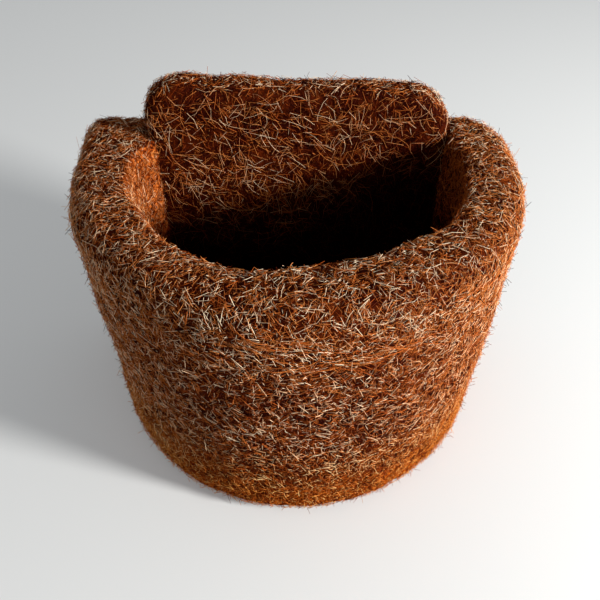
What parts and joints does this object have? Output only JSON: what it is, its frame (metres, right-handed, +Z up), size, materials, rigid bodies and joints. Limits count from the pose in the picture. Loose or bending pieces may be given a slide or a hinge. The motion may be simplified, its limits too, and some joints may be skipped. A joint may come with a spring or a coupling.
{
  "type": "fibre wall planter",
  "caption": "Half-round wall planter of bonded coconut fibre with a puffy rim, a flat back that rises above it and a wire bail to hang by.",
  "frame": {"origin": "under the middle of the whole planter's box, on the plane it stands on", "axes": "+Z up, +X across the back to the viewer's right, +Y towards the wall that the flat back lies on"},
  "size_m": [0.2032, 0.1462, 0.158],
  "materials": {
    "band_coir": "coarse matted coconut fibre, latex bonded",
    "panel_coir": "coarse matted coconut fibre, latex bonded",
    "base_coir": "coarse matted coconut fibre, latex bonded",
    "zinc_wire": "galvanised"
  },
  "bodies": {
    "root": {"front_wall": "band_coir", "back_panel": "panel_coir", "base_pad": "base_coir", "wire_hanger": "zinc_wire"}
  },
  "joints": []
}
